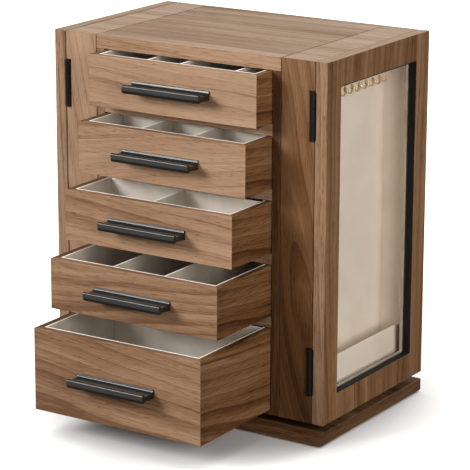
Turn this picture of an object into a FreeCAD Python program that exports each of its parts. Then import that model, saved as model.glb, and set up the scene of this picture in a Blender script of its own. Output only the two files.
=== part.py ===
import FreeCAD, Part
import math
import os

os.makedirs("parts", exist_ok=True)

V = FreeCAD.Vector

# Rotating jewellery box. All sizes are in millimetres.
# X runs to the right along the front, Y runs to the back, Z runs up.
# The origin lies on the standing plane, on the axis of the turntable.

# Driving sizes of the base
FELT_T = 1.5
FELT_INSET = 5.0
BASE_T = 12.0
BASE_SIDE_INSET = 1.0
BASE_FRONT_OVERHANG = 2.0

# Driving sizes of the turntable
TURN_SIDE = 100.0
TURN_CORNER = 6.0
TURN_PLATE_T = 1.5
RACE_R = 37.0
RACE_W = 10.0
RACE_SPLIT = 0.6
RACE_FLOOR = 0.25
BALL_R = 2.2
BALL_PLAY = 0.1
BALL_COUNT = 24
PIVOT_R = 5.0
PIVOT_HEAD_R = 8.0
PIVOT_HEAD_T = 1.2
PIVOT_PLAY = 0.05
PIVOT_HEAD_ROOM = 0.1
PIVOT_RECESS_PLAY = 0.3
TURN_SCREW_INSET = 10.0

# Driving sizes of the drawers, from the top one down
DRAWER_COUNT = 5
SHALLOW_H = 48.5
DEEP_H = 79.5
DRAWER_W = 184.4
DRAWER_OPEN = [26.0, 44.0, 66.0, 90.0, 117.0]
DRAWER_TRAVEL = 130.0
DRAWER_SIDE_PLAY = 0.8
DRAWER_FOOT_PLAY = 0.3
DRAWER_HEAD_PLAY = 0.7
DRAWER_REAR_PLAY = 4.0
FRONT_T = 8.0
SIDE_T = 6.5
BOX_BACK_T = 6.0
BOX_BOTTOM_T = 4.0
LINER_T = 1.6
LINER_FLOOR_T = 1.2
DIVIDER_T = 2.2
DIVIDER_DROP = 0.8

# How the cells of each drawer share its width and its length, from the top drawer down
COLUMN_PARTS = [[49, 34, 58, 21], [1, 1, 1], [1, 1], [1, 1, 1], [1]]
ROW_PARTS = [[1], [1, 1, 1], [1, 1, 1], [1], [2, 1]]

# Driving sizes of the drawer stops
PEG_R = 2.0
PEG_RISE = 1.5
PEG_SINK = 4.0
PEG_SETBACK = 13.0
SLOT_DEPTH = 2.4
SLOT_PLAY = 0.4

# Driving sizes of the handles
HANDLE_L = 84.0
HANDLE_H = 8.0
HANDLE_OUT = 18.5
HANDLE_LIP_T = 2.8
HANDLE_FLANGE_T = 1.6
HANDLE_FLANGE_RISE = 0.6
HANDLE_COVE = 1.1
HANDLE_UNDERCUT = 1.3
HANDLE_SCREW_SPACING = 64.0

# Driving sizes of the cabinet boards
CABINET_D = 190.0
TOP_T = 13.0
BOTTOM_T = 4.5
SHELF_T = 11.0
PARTITION_T = 9.0
BACK_T = 6.0

# Driving sizes of the side cases
CASE_W = 35.0
CASE_FRONT_T = 12.0
CASE_TOP_T = 8.0
CASE_BOTTOM_T = 6.0
CASE_BACK_T = 8.0
CASE_INNER_T = 4.5
LINING_T = 1.0
LINING_SETBACK = 0.5
POCKET_H = 42.5
POCKET_T = 4.6
POCKET_SETBACK = 5.4
POCKET_ROUND = 1.6

# Driving sizes of the necklace hooks
HOOK_COUNT = 12
HOOK_PITCH = 13.2
HOOK_DROP = 46.5
HOOK_WIRE_R = 0.8
HOOK_PLATE_R = 2.4
HOOK_PLATE_T = 0.8
HOOK_REACH = 3.4
HOOK_NECK_R = 1.1
HOOK_BEND_R = 2.2
HOOK_TIP = 1.4
HOOK_STUB = 3.0
HOOK_HOLE_PLAY = 0.05

# Driving sizes of the doors
DOOR_GAP = 1.0
DOOR_T = 12.0
STILE_W = 24.0
RAIL_W = 25.0
WINDOW_R = 2.5
GLASS_DEPTH = 7.0
GLASS_T = 2.0
GLASS_LAP = 3.0
GLASS_PLAY = 0.3
GASKET_T = 1.0
GASKET_SETBACK = 0.3

# Driving sizes of the hinges
HINGE_L = 44.0
HINGE_INSET = 50.0
DOOR_KNUCKLE_L = 14.6
BARREL_R = 2.8
BARREL_SHIFT = 2.2
KNUCKLE_GAP = 0.3
PIN_R = 1.2
PIN_PLAY = 0.05
PIN_HEAD_T = 0.8
LEAF_T = 0.9
LEAF_W = 11.0
MORTISE_PLAY = 0.3
LEAF_SCREW_R = 1.1
LEAF_SCREW_HEAD_R = 2.1
LEAF_SCREW_L = 5.0
LEAF_SCREW_SPACING = 26.0

# Driving sizes of the magnet catches
MAGNET_R = 3.0
MAGNET_T = 3.0
MAGNET_INSET = 60.0
STRIKE_T = 1.0

# Driving sizes of the screws
PAN_R = 3.2
PAN_H = 1.9
TURN_SCREW_R = 1.6
BASE_SCREW_L = 9.0
PANEL_SCREW_L = 3.6
HOLE_PLAY = 0.1
HANDLE_SCREW_R = 1.5
HANDLE_SCREW_HEAD_R = 2.8
HANDLE_SCREW_HEAD_T = 1.6
HANDLE_SCREW_BITE = 6.0

# Sizes that follow from the driving ones
GROOVE_R = BALL_R + BALL_PLAY
PLATE_SPACE = 2 * (GROOVE_R + RACE_FLOOR)
BEARING_H = PLATE_SPACE + 2 * TURN_PLATE_T
HEIGHTS = [SHALLOW_H] * (DRAWER_COUNT - 1) + [DEEP_H]
BAY_PLAY = DRAWER_FOOT_PLAY + DRAWER_HEAD_PLAY
CABINET_H = BOTTOM_T + sum(HEIGHTS) + DRAWER_COUNT * BAY_PLAY + (DRAWER_COUNT - 1) * SHELF_T + TOP_T

# Heights above the standing plane
Z_BASE = FELT_T
Z_BASE_TOP = Z_BASE + BASE_T
Z_MID_RACE = Z_BASE_TOP + BEARING_H / 2
Z_CAB = Z_BASE_TOP + BEARING_H
Z_CAB_TOP = Z_CAB + CABINET_H
Z_BOTTOM_TOP = Z_CAB + BOTTOM_T
Z_TOP_UNDER = Z_CAB_TOP - TOP_T

# Half widths, from the middle outwards
X_DRAWER = DRAWER_W / 2
X_BAY = X_DRAWER + DRAWER_SIDE_PLAY
X_CASE = X_BAY + PARTITION_T
X_CASE_OUT = X_CASE + CASE_W
X_DOOR = X_CASE_OUT + DOOR_GAP
X_OUT = X_DOOR + DOOR_T
X_PANEL = X_CASE + CASE_INNER_T
X_LINING = X_PANEL + LINING_T

# Depths, from the front to the back
Y_FRONT = -CABINET_D / 2
Y_REAR = CABINET_D / 2
Y_BACK = Y_REAR - BACK_T
Y_CASE_IN = Y_FRONT + CASE_FRONT_T
Y_CASE_BACK = Y_REAR - CASE_BACK_T
DRAWER_L = Y_BACK - DRAWER_REAR_PLAY - Y_FRONT


# Small builders

def board(x0, x1, y0, y1, z0, z1):
    """A straight board between two corners."""
    return Part.makeBox(x1 - x0, y1 - y0, z1 - z0, V(x0, y0, z0))


def rod(radius, start, direction, length):
    """A round rod from a start point along a direction."""
    return Part.makeCylinder(radius, length, start, direction)


def prism(points, direction):
    """A closed outline pushed along a direction."""
    outline = Part.makePolygon(points + [points[0]])
    return Part.Face(outline).extrude(direction)


def group(solids):
    """Separate solids that share one node."""
    return Part.makeCompound(solids)


def mirrored(shape):
    """The left-hand twin of a right-hand piece."""
    return shape.mirror(V(0, 0, 0), V(1, 0, 0))


def cut_all(shape, tools):
    """A shape with every tool taken out of it."""
    for tool in tools:
        shape = shape.cut(tool)
    return shape


def corner_points(half_x, half_y, z):
    """Four points, one in each quarter of the plan."""
    return [V(sx * half_x, sy * half_y, z) for sx in (-1, 1) for sy in (-1, 1)]


# Base

def base_felt():
    half_x = X_OUT - BASE_SIDE_INSET - FELT_INSET
    half_y = Y_REAR + BASE_FRONT_OVERHANG - FELT_INSET
    return board(-half_x, half_x, -half_y, half_y, 0, Z_BASE)


def base_plate():
    half_x = X_OUT - BASE_SIDE_INSET
    half_y = Y_REAR + BASE_FRONT_OVERHANG
    plate = board(-half_x, half_x, -half_y, half_y, Z_BASE, Z_BASE_TOP)
    reach = BASE_SCREW_L + HOLE_PLAY
    holes = [rod(TURN_SCREW_R + HOLE_PLAY, p, V(0, 0, -1), reach) for p in turn_screw_points(Z_BASE_TOP)]
    recess = rod(PIVOT_HEAD_R + HOLE_PLAY, V(0, 0, Z_BASE_TOP), V(0, 0, -1), PIVOT_HEAD_T)
    return cut_all(plate, holes + [recess])


# Turntable

def turn_screw_points(z):
    half = TURN_SIDE / 2 - TURN_SCREW_INSET
    return corner_points(half, half, z)


def race_groove():
    return Part.makeTorus(RACE_R, GROOVE_R, V(0, 0, Z_MID_RACE), V(0, 0, 1))


def turn_plate(z_plate, z_ring, ring_h, hole_r):
    """A square plate with a grooved ring that carries the balls."""
    half = TURN_SIDE / 2
    cut = TURN_CORNER
    outline = []
    for sx, sy in ((1, 1), (-1, 1), (-1, -1), (1, -1)):
        pair = [V(sx * half, sy * (half - cut), z_plate), V(sx * (half - cut), sy * half, z_plate)]
        outline += pair if sx * sy > 0 else pair[::-1]
    plate = prism(outline, V(0, 0, TURN_PLATE_T))
    ring = rod(RACE_R + RACE_W / 2, V(0, 0, z_ring), V(0, 0, 1), ring_h)
    ring = ring.cut(rod(RACE_R - RACE_W / 2, V(0, 0, z_ring), V(0, 0, 1), ring_h))
    plate = plate.fuse(ring).cut(race_groove())
    holes = [rod(TURN_SCREW_R + HOLE_PLAY, p, V(0, 0, 1), TURN_PLATE_T) for p in turn_screw_points(z_plate)]
    holes.append(rod(hole_r, V(0, 0, z_plate), V(0, 0, 1), TURN_PLATE_T))
    return cut_all(plate, holes)


def turntable_lower_plate():
    ring_h = (PLATE_SPACE - RACE_SPLIT) / 2
    return turn_plate(Z_BASE_TOP, Z_BASE_TOP + TURN_PLATE_T, ring_h, PIVOT_R)


def turntable_upper_plate():
    ring_h = (PLATE_SPACE - RACE_SPLIT) / 2
    z_plate = Z_CAB - TURN_PLATE_T
    return turn_plate(z_plate, z_plate - ring_h, ring_h, PIVOT_R + PIVOT_PLAY)


def turntable_balls():
    balls = []
    for i in range(BALL_COUNT):
        angle = 2 * math.pi * i / BALL_COUNT
        place = V(RACE_R * math.cos(angle), RACE_R * math.sin(angle), Z_MID_RACE)
        balls.append(Part.makeSphere(BALL_R, place))
    return group(balls)


def turntable_pivot():
    foot = rod(PIVOT_HEAD_R, V(0, 0, Z_BASE_TOP - PIVOT_HEAD_T), V(0, 0, 1), PIVOT_HEAD_T)
    shank = rod(PIVOT_R, V(0, 0, Z_BASE_TOP), V(0, 0, 1), BEARING_H + PIVOT_HEAD_ROOM)
    head = rod(PIVOT_HEAD_R, V(0, 0, Z_CAB + PIVOT_HEAD_ROOM), V(0, 0, 1), PIVOT_HEAD_T)
    return foot.fuse(shank).fuse(head).removeSplitter()


def pan_screw(seat, direction, length):
    """A pan-head screw whose head sits on the seat and whose shank runs along the direction."""
    head = rod(PAN_R, seat - direction * PAN_H, direction, PAN_H)
    shank = rod(TURN_SCREW_R, seat, direction, length)
    return head.fuse(shank).removeSplitter()


def turntable_lower_screws():
    seat = Z_BASE_TOP + TURN_PLATE_T
    length = TURN_PLATE_T + BASE_SCREW_L
    return group([pan_screw(p, V(0, 0, -1), length) for p in turn_screw_points(seat)])


def turntable_upper_screws():
    seat = Z_CAB - TURN_PLATE_T
    length = TURN_PLATE_T + PANEL_SCREW_L
    return group([pan_screw(p, V(0, 0, 1), length) for p in turn_screw_points(seat)])


# Middle of the cabinet

def bay_floor(index):
    """Height of the board that a drawer stands on, counting from the top drawer."""
    bays_above = sum(HEIGHTS[:index + 1]) + (index + 1) * BAY_PLAY
    return Z_TOP_UNDER - bays_above - index * SHELF_T


def peg_place(z):
    return V(0, Y_FRONT + PEG_SETBACK, z)


def peg_hole(index):
    return rod(PEG_R, peg_place(bay_floor(index) - PEG_SINK), V(0, 0, 1), PEG_SINK)


def bottom_panel():
    panel = board(-X_CASE, X_CASE, Y_FRONT, Y_REAR, Z_CAB, Z_BOTTOM_TOP)
    reach = PANEL_SCREW_L + HOLE_PLAY
    holes = [rod(TURN_SCREW_R + HOLE_PLAY, p, V(0, 0, 1), reach) for p in turn_screw_points(Z_CAB)]
    recess_h = PIVOT_HEAD_ROOM + PIVOT_HEAD_T + PIVOT_RECESS_PLAY
    recess = rod(PIVOT_HEAD_R + PIVOT_RECESS_PLAY, V(0, 0, Z_CAB), V(0, 0, 1), recess_h)
    return cut_all(panel, holes + [recess, peg_hole(DRAWER_COUNT - 1)])


def top_panel():
    return board(-X_CASE, X_CASE, Y_FRONT, Y_REAR, Z_TOP_UNDER, Z_CAB_TOP)


def partitions():
    right = board(X_BAY, X_CASE, Y_FRONT, Y_BACK, Z_BOTTOM_TOP, Z_TOP_UNDER)
    return group([right, mirrored(right)])


def back_panel():
    return board(-X_CASE, X_CASE, Y_BACK, Y_REAR, Z_BOTTOM_TOP, Z_TOP_UNDER)


def drawer_shelves():
    shelves = []
    for index in range(DRAWER_COUNT - 1):
        z = bay_floor(index)
        shelf = board(-X_BAY, X_BAY, Y_FRONT, Y_BACK, z - SHELF_T, z)
        shelves.append(shelf.cut(peg_hole(index)))
    return group(shelves)


def drawer_stop_pegs():
    pegs = []
    for index in range(DRAWER_COUNT):
        foot = bay_floor(index) - PEG_SINK
        pegs.append(rod(PEG_R, peg_place(foot), V(0, 0, 1), PEG_SINK + PEG_RISE))
    return group(pegs)


# Side cases, built on the right and mirrored to the left

def hinge_middles():
    return [Z_CAB + HINGE_INSET, Z_CAB_TOP - HINGE_INSET]


def hinge_axis(z):
    return V(X_CASE_OUT - BARREL_SHIFT, Y_FRONT, z)


def barrel_mortise(middle):
    """Round clearance for a hinge barrel."""
    length = HINGE_L + 2 * PIN_HEAD_T + 2 * MORTISE_PLAY
    return rod(BARREL_R + MORTISE_PLAY, hinge_axis(middle - length / 2), V(0, 0, 1), length)


def leaf_block(x0, x1, middle):
    """The flat of a hinge leaf, from the barrel's axis backwards."""
    return board(x0, x1, Y_FRONT, Y_FRONT + LEAF_W, middle - HINGE_L / 2, middle + HINGE_L / 2)


def leaf_screw_points(x, middle):
    y = Y_FRONT + (LEAF_W + BARREL_R) / 2
    return [V(x, y, middle + side * LEAF_SCREW_SPACING / 2) for side in (-1, 1)]


def leaf_screw(place, direction):
    """A countersunk screw, flush with the leaf at its place."""
    depth = LEAF_SCREW_HEAD_R - LEAF_SCREW_R
    head = Part.makeCone(LEAF_SCREW_HEAD_R, LEAF_SCREW_R, depth, place, direction)
    shank = rod(LEAF_SCREW_R, place + direction * depth, direction, LEAF_SCREW_L - depth)
    return head.fuse(shank).removeSplitter()


def right_case_front():
    """Front board of a side case, mitred to the top board, with a mortise for each hinge."""
    x0, x1 = X_CASE, X_CASE_OUT
    side = [
        V(x0, Y_FRONT, Z_CAB),
        V(x0, Y_CASE_IN, Z_CAB),
        V(x0, Y_CASE_IN, Z_CAB_TOP - CASE_TOP_T),
        V(x0, Y_FRONT, Z_CAB_TOP),
    ]
    shape = prism(side, V(x1 - x0, 0, 0))
    for middle in hinge_middles():
        tools = [barrel_mortise(middle), leaf_block(x1 - LEAF_T, x1, middle)]
        tools += [leaf_screw(p, V(-1, 0, 0)) for p in leaf_screw_points(x1, middle)]
        shape = cut_all(shape, tools)
    return shape


def case_top():
    """Top board, mitred to the front board."""
    x0, x1 = X_CASE, X_CASE_OUT
    under = Z_CAB_TOP - CASE_TOP_T
    side = [
        V(x0, Y_FRONT, Z_CAB_TOP),
        V(x0, Y_CASE_IN, under),
        V(x0, Y_REAR, under),
        V(x0, Y_REAR, Z_CAB_TOP),
    ]
    return prism(side, V(x1 - x0, 0, 0))


def magnet_points(x):
    y = Y_REAR - CASE_BACK_T / 2
    return [V(x, y, Z_CAB + MAGNET_INSET), V(x, y, Z_CAB_TOP - MAGNET_INSET)]


def case_back():
    shape = board(X_CASE, X_CASE_OUT, Y_CASE_BACK, Y_REAR, Z_CAB, Z_CAB_TOP - CASE_TOP_T)
    pockets = [rod(MAGNET_R, p, V(-1, 0, 0), MAGNET_T) for p in magnet_points(X_CASE_OUT)]
    return cut_all(shape, pockets)


def hook_points(x):
    middle = (Y_CASE_IN + Y_CASE_BACK) / 2
    first = middle - HOOK_PITCH * (HOOK_COUNT - 1) / 2
    return [V(x, first + i * HOOK_PITCH, Z_CAB_TOP - HOOK_DROP) for i in range(HOOK_COUNT)]


def hook_holes(x, length):
    radius = HOOK_WIRE_R + HOOK_HOLE_PLAY
    return [rod(radius, p, V(-1, 0, 0), length) for p in hook_points(x)]


def case_inner():
    shape = board(X_CASE, X_PANEL, Y_CASE_IN, Y_CASE_BACK, Z_CAB + CASE_BOTTOM_T, Z_CAB_TOP - CASE_TOP_T)
    return cut_all(shape, hook_holes(X_PANEL, HOOK_STUB))


def right_case_shell():
    bottom = board(X_CASE, X_CASE_OUT, Y_CASE_IN, Y_CASE_BACK, Z_CAB, Z_CAB + CASE_BOTTOM_T)
    return group([case_top(), bottom, case_back(), case_inner()])


def right_lining_sheets():
    """Five fabric sheets that line the inside of a side case."""
    x1 = X_CASE_OUT - LINING_SETBACK
    z0 = Z_CAB + CASE_BOTTOM_T
    z1 = Z_CAB_TOP - CASE_TOP_T
    t = LINING_T
    inner = board(X_PANEL, X_LINING, Y_CASE_IN, Y_CASE_BACK, z0, z1)
    inner = cut_all(inner, hook_holes(X_LINING, LINING_T))
    front = board(X_LINING, x1, Y_CASE_IN, Y_CASE_IN + t, z0, z1)
    back = board(X_LINING, x1, Y_CASE_BACK - t, Y_CASE_BACK, z0, z1)
    floor = board(X_LINING, x1, Y_CASE_IN + t, Y_CASE_BACK - t, z0, z0 + t)
    roof = board(X_LINING, x1, Y_CASE_IN + t, Y_CASE_BACK - t, z1 - t, z1)
    return [inner, front, back, floor, roof]


def case_linings():
    right = right_lining_sheets()
    return group(right + [mirrored(sheet) for sheet in right])


def right_pocket():
    x1 = X_CASE_OUT - POCKET_SETBACK
    z0 = Z_CAB + CASE_BOTTOM_T + LINING_T
    pad = board(x1 - POCKET_T, x1, Y_CASE_IN + LINING_T, Y_CASE_BACK - LINING_T, z0, z0 + POCKET_H)
    rims = [e for e in pad.Edges if min(v.Z for v in e.Vertexes) > z0 + POCKET_H / 2]
    long_rims = [e for e in rims if e.Length > POCKET_T * 2]
    return pad.makeFillet(POCKET_ROUND, long_rims)


def hook(place):
    """One J-shaped hook: a stub into the wall, an arm, a neck that turns down and an upturned bend."""
    slant = math.sqrt(0.5)
    start = place - V(HOOK_STUB + LINING_T, 0, 0)
    arm_end = place + V(HOOK_REACH - HOOK_NECK_R, 0, 0)
    neck_middle = arm_end + V(HOOK_NECK_R * slant, 0, HOOK_NECK_R * (slant - 1))
    neck_end = arm_end + V(HOOK_NECK_R, 0, -HOOK_NECK_R)
    bend_low = neck_end + V(HOOK_BEND_R, 0, -HOOK_BEND_R)
    bend_end = neck_end + V(2 * HOOK_BEND_R, 0, 0)
    tip = bend_end + V(0, 0, HOOK_TIP)
    path = Part.Wire([
        Part.LineSegment(start, arm_end).toShape(),
        Part.Arc(arm_end, neck_middle, neck_end).toShape(),
        Part.Arc(neck_end, bend_low, bend_end).toShape(),
        Part.LineSegment(bend_end, tip).toShape(),
    ])
    ring = Part.Wire(Part.makeCircle(HOOK_WIRE_R, start, V(1, 0, 0)))
    wire = path.makePipeShell([ring], True, False)
    plate = rod(HOOK_PLATE_R, place, V(1, 0, 0), HOOK_PLATE_T)
    return wire.fuse(plate).removeSplitter()


def necklace_hooks():
    right = [hook(p) for p in hook_points(X_LINING)]
    return group(right + [mirrored(one) for one in right])


# Hinges, built on the right and mirrored to the left

def knuckle(middle, low, high, bore_r):
    """A stretch of hinge barrel between two heights, bored for the pin."""
    body = rod(BARREL_R, hinge_axis(middle + low), V(0, 0, 1), high - low)
    return body.cut(rod(bore_r, hinge_axis(middle + low), V(0, 0, 1), high - low))


def knuckle_heights():
    """Lower case knuckle, door knuckle and upper case knuckle, as heights from the hinge's middle."""
    inner = DOOR_KNUCKLE_L / 2
    outer = HINGE_L / 2
    return [(-outer, -inner), (-inner + KNUCKLE_GAP, inner - KNUCKLE_GAP), (inner, outer)]


def case_leaf(middle):
    """The leaf on the case, with two knuckles and room between them for the door's knuckle."""
    low, door, high = knuckle_heights()
    x0 = X_CASE_OUT - LEAF_T
    flat = leaf_block(x0, X_CASE_OUT, middle)
    door_room = rod(BARREL_R + MORTISE_PLAY, hinge_axis(middle + low[1]), V(0, 0, 1), high[0] - low[1])
    front_room = board(x0, X_CASE_OUT, Y_FRONT, Y_FRONT + BARREL_R, middle + low[1], middle + high[0])
    bore = rod(PIN_R, hinge_axis(middle - HINGE_L / 2), V(0, 0, 1), HINGE_L)
    leaf = cut_all(flat, [door_room, front_room, bore])
    for bottom, top in (low, high):
        leaf = leaf.fuse(knuckle(middle, bottom, top, PIN_R))
    screws = [leaf_screw(p, V(-1, 0, 0)) for p in leaf_screw_points(X_CASE_OUT, middle)]
    return [cut_all(leaf, screws).removeSplitter()] + screws


def door_leaf(middle):
    """The leaf on the door, with a web across the gap to its own knuckle."""
    low, door, high = knuckle_heights()
    bottom, top = door
    bore_r = PIN_R + PIN_PLAY
    flat = leaf_block(X_DOOR, X_DOOR + LEAF_T, middle)
    x_axis = hinge_axis(middle).x
    web = board(x_axis, X_DOOR + LEAF_T, Y_FRONT, Y_FRONT + LEAF_T, middle + bottom, middle + top)
    web = web.cut(rod(bore_r, hinge_axis(middle + bottom), V(0, 0, 1), top - bottom))
    leaf = flat.fuse(web).fuse(knuckle(middle, bottom, top, bore_r))
    screws = [leaf_screw(p, V(1, 0, 0)) for p in leaf_screw_points(X_DOOR, middle)]
    return [cut_all(leaf, screws).removeSplitter()] + screws


def hinge_pin(middle):
    shank = rod(PIN_R, hinge_axis(middle - HINGE_L / 2), V(0, 0, 1), HINGE_L)
    foot = rod(BARREL_R, hinge_axis(middle - HINGE_L / 2 - PIN_HEAD_T), V(0, 0, 1), PIN_HEAD_T)
    head = rod(BARREL_R, hinge_axis(middle + HINGE_L / 2), V(0, 0, 1), PIN_HEAD_T)
    return shank.fuse(foot).fuse(head).removeSplitter()


def case_hinge_leaves():
    right = []
    for middle in hinge_middles():
        right += case_leaf(middle)
    return group(right + [mirrored(piece) for piece in right])


def hinge_pins():
    right = [hinge_pin(middle) for middle in hinge_middles()]
    return group(right + [mirrored(pin) for pin in right])


def right_door_hinge_leaves():
    pieces = []
    for middle in hinge_middles():
        pieces += door_leaf(middle)
    return group(pieces)


# Magnet catches

def case_magnets():
    right = [rod(MAGNET_R, p, V(-1, 0, 0), MAGNET_T) for p in magnet_points(X_CASE_OUT)]
    return group(right + [mirrored(one) for one in right])


def right_strike_plates():
    return group([rod(MAGNET_R, p, V(1, 0, 0), STRIKE_T) for p in magnet_points(X_DOOR)])


# Doors, built on the right and mirrored to the left

def window_block(x0, x1, grow, radius):
    """The window's outline, made larger by grow, pushed from x0 to x1."""
    y0 = Y_FRONT + STILE_W - grow
    y1 = Y_REAR - STILE_W + grow
    z0 = Z_CAB + RAIL_W - grow
    z1 = Z_CAB_TOP - RAIL_W + grow
    block = board(x0, x1, y0, y1, z0, z1)
    if radius == 0:
        return block
    depth_edges = [e for e in block.Edges if e.BoundBox.XLength > e.BoundBox.YLength + e.BoundBox.ZLength]
    return block.makeFillet(radius, depth_edges)


def glass_x():
    """Inner and outer face of the glass."""
    outer = X_OUT - GLASS_DEPTH
    return outer - GLASS_T, outer


def right_door_frame():
    """Two stiles and two rails with a rebate for the glass, hinge mortises and strike pockets."""
    x_glass = glass_x()[1]
    whole = board(X_DOOR, X_OUT, Y_FRONT, Y_REAR, Z_CAB, Z_CAB_TOP)
    whole = whole.cut(window_block(X_DOOR, X_OUT, 0, WINDOW_R))
    whole = whole.cut(window_block(X_DOOR, x_glass, GLASS_LAP + GLASS_PLAY, 0))
    for middle in hinge_middles():
        tools = [leaf_block(X_DOOR, X_DOOR + LEAF_T, middle)]
        tools += [leaf_screw(p, V(1, 0, 0)) for p in leaf_screw_points(X_DOOR, middle)]
        whole = cut_all(whole, tools)
    strikes = [rod(MAGNET_R, p, V(1, 0, 0), STRIKE_T) for p in magnet_points(X_DOOR)]
    whole = cut_all(whole, strikes)
    y0 = Y_FRONT + STILE_W
    y1 = Y_REAR - STILE_W
    z_half = (Z_CAB + Z_CAB_TOP) / 2
    cells = [
        board(X_DOOR, X_OUT, Y_FRONT, y0, Z_CAB, Z_CAB_TOP),
        board(X_DOOR, X_OUT, y1, Y_REAR, Z_CAB, Z_CAB_TOP),
        board(X_DOOR, X_OUT, y0, y1, Z_CAB, z_half),
        board(X_DOOR, X_OUT, y0, y1, z_half, Z_CAB_TOP),
    ]
    members = []
    for cell in cells:
        members += whole.common(cell).Solids
    return group(members)


def right_door_glass():
    x_in, x_glass = glass_x()
    return window_block(x_in, x_glass, GLASS_LAP, 0)


def right_window_gasket():
    """The black reveal in front of the glass and the bead that holds the glass from behind."""
    x_in, x_glass = glass_x()
    reveal = window_block(x_glass, X_OUT - GASKET_SETBACK, 0, WINDOW_R)
    reveal = reveal.cut(window_block(x_glass, X_OUT, -GASKET_T, WINDOW_R - GASKET_T))
    bead = window_block(X_DOOR + GASKET_SETBACK, x_in, GLASS_LAP + GLASS_PLAY, 0)
    bead = bead.cut(window_block(X_DOOR, x_in, -GASKET_T, WINDOW_R - GASKET_T))
    return group([reveal, bead])


# Drawers

def drawer_box_frame(index):
    """Front face, floor and top of a drawer where it stands in the rest pose."""
    y0 = Y_FRONT - DRAWER_OPEN[index]
    z0 = bay_floor(index) + DRAWER_FOOT_PLAY
    return y0, z0, z0 + HEIGHTS[index]


def drawer_front(index):
    """Front board, mitred at both ends, drilled for the handle screws."""
    y0, z0, z1 = drawer_box_frame(index)
    y_in = y0 + FRONT_T
    inner = X_DRAWER - SIDE_T
    plan = [V(-X_DRAWER, y0, z0), V(X_DRAWER, y0, z0), V(inner, y_in, z0), V(-inner, y_in, z0)]
    front = prism(plan, V(0, 0, z1 - z0))
    return cut_all(front, handle_screw_list(index, HOLE_PLAY))


def drawer_box(index):
    """Two mitred sides, a back between them and a bottom with the stop slot."""
    y0, z0, z1 = drawer_box_frame(index)
    y_in = y0 + FRONT_T
    y_end = y0 + DRAWER_L
    inner = X_DRAWER - SIDE_T
    plan = [V(X_DRAWER, y0, z0), V(X_DRAWER, y_end, z0), V(inner, y_end, z0), V(inner, y_in, z0)]
    side = prism(plan, V(0, 0, z1 - z0))
    back = board(-inner, inner, y_end - BOX_BACK_T, y_end, z0, z1)
    bottom = board(-inner, inner, y_in, y_end - BOX_BACK_T, z0, z0 + BOX_BOTTOM_T)
    reach = PEG_R + SLOT_PLAY
    slot_start = y0 + PEG_SETBACK - reach
    slot_end = y0 + PEG_SETBACK + DRAWER_TRAVEL + reach
    slot = board(-reach, reach, slot_start, slot_end, z0, z0 + SLOT_DEPTH)
    return group([mirrored(side), side, back, bottom.cut(slot)])


def inner_box(index):
    """The hollow inside a lined drawer: half width, front, back, floor and top."""
    y0, z0, z1 = drawer_box_frame(index)
    half = X_DRAWER - SIDE_T - LINER_T
    y_near = y0 + FRONT_T + LINER_T
    y_far = y0 + DRAWER_L - BOX_BACK_T - LINER_T
    return half, y_near, y_far, z0 + BOX_BOTTOM_T + LINER_FLOOR_T, z1


def divider_places(low, high, parts):
    """Middles of the dividers between two walls, where the cells share the free length in parts."""
    free = high - low - DIVIDER_T * (len(parts) - 1)
    places = []
    for count in range(1, len(parts)):
        cells = free * sum(parts[:count]) / sum(parts)
        places.append(low + cells + DIVIDER_T * (count - 0.5))
    return places


def column_places(index):
    """Middles of the dividers that run front to back."""
    half = inner_box(index)[0]
    return divider_places(-half, half, COLUMN_PARTS[index])


def row_places(index):
    """Middles of the dividers that run side to side."""
    y_near, y_far = inner_box(index)[1:3]
    return divider_places(y_near, y_far, ROW_PARTS[index])


def drawer_liner(index):
    """Fabric-covered floor, four walls and the dividers."""
    half, y_near, y_far, z_floor, z_top = inner_box(index)
    t = LINER_T
    z_under = z_floor - LINER_FLOOR_T
    pieces = [
        board(-half, half, y_near, y_far, z_under, z_floor),
        board(-half - t, half + t, y_near - t, y_near, z_under, z_top),
        board(-half - t, half + t, y_far, y_far + t, z_under, z_top),
        board(-half - t, -half, y_near, y_far, z_under, z_top),
        board(half, half + t, y_near, y_far, z_under, z_top),
    ]
    d = DIVIDER_T / 2
    rim = z_top - DIVIDER_DROP
    columns = column_places(index)
    for x in columns:
        pieces.append(board(x - d, x + d, y_near, y_far, z_floor, rim))
    lefts = [-half] + [x + d for x in columns]
    rights = [x - d for x in columns] + [half]
    for y in row_places(index):
        for x0, x1 in zip(lefts, rights):
            pieces.append(board(x0, x1, y - d, y + d, z_floor, rim))
    return group(pieces)


def handle_middle(index):
    y0, z0, z1 = drawer_box_frame(index)
    return y0, (z0 + z1) / 2


def drawer_handle(index):
    """A bar pull: a lip in front, a hollowed top, a flange against the drawer and an undercut grip."""
    y_face, z_mid = handle_middle(index)
    x0 = -HANDLE_L / 2
    z0 = z_mid - HANDLE_H / 2
    z1 = z_mid + HANDLE_H / 2
    y_tip = y_face - HANDLE_OUT
    y_lip = y_tip + HANDLE_LIP_T
    y_flange = y_face - HANDLE_FLANGE_T
    top = z1 + HANDLE_FLANGE_RISE
    cove_start = V(x0, y_lip, z1 - HANDLE_COVE / 2)
    cove_low = V(x0, (y_lip + y_flange) / 2, z1 - HANDLE_COVE)
    cove_end = V(x0, y_flange, top)
    corners = [
        cove_end,
        V(x0, y_face, top),
        V(x0, y_face, z0),
        V(x0, y_lip + HANDLE_UNDERCUT, z0 + HANDLE_UNDERCUT),
        V(x0, y_lip, z0),
        V(x0, y_tip, z0),
        V(x0, y_tip, z1),
        V(x0, y_lip, z1),
        cove_start,
    ]
    edges = [Part.Arc(cove_start, cove_low, cove_end).toShape()]
    edges += [Part.LineSegment(p, q).toShape() for p, q in zip(corners, corners[1:])]
    profile = Part.Face(Part.Wire(edges))
    bar = profile.extrude(V(HANDLE_L, 0, 0))
    return cut_all(bar, handle_screw_list(index, 0))


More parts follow.
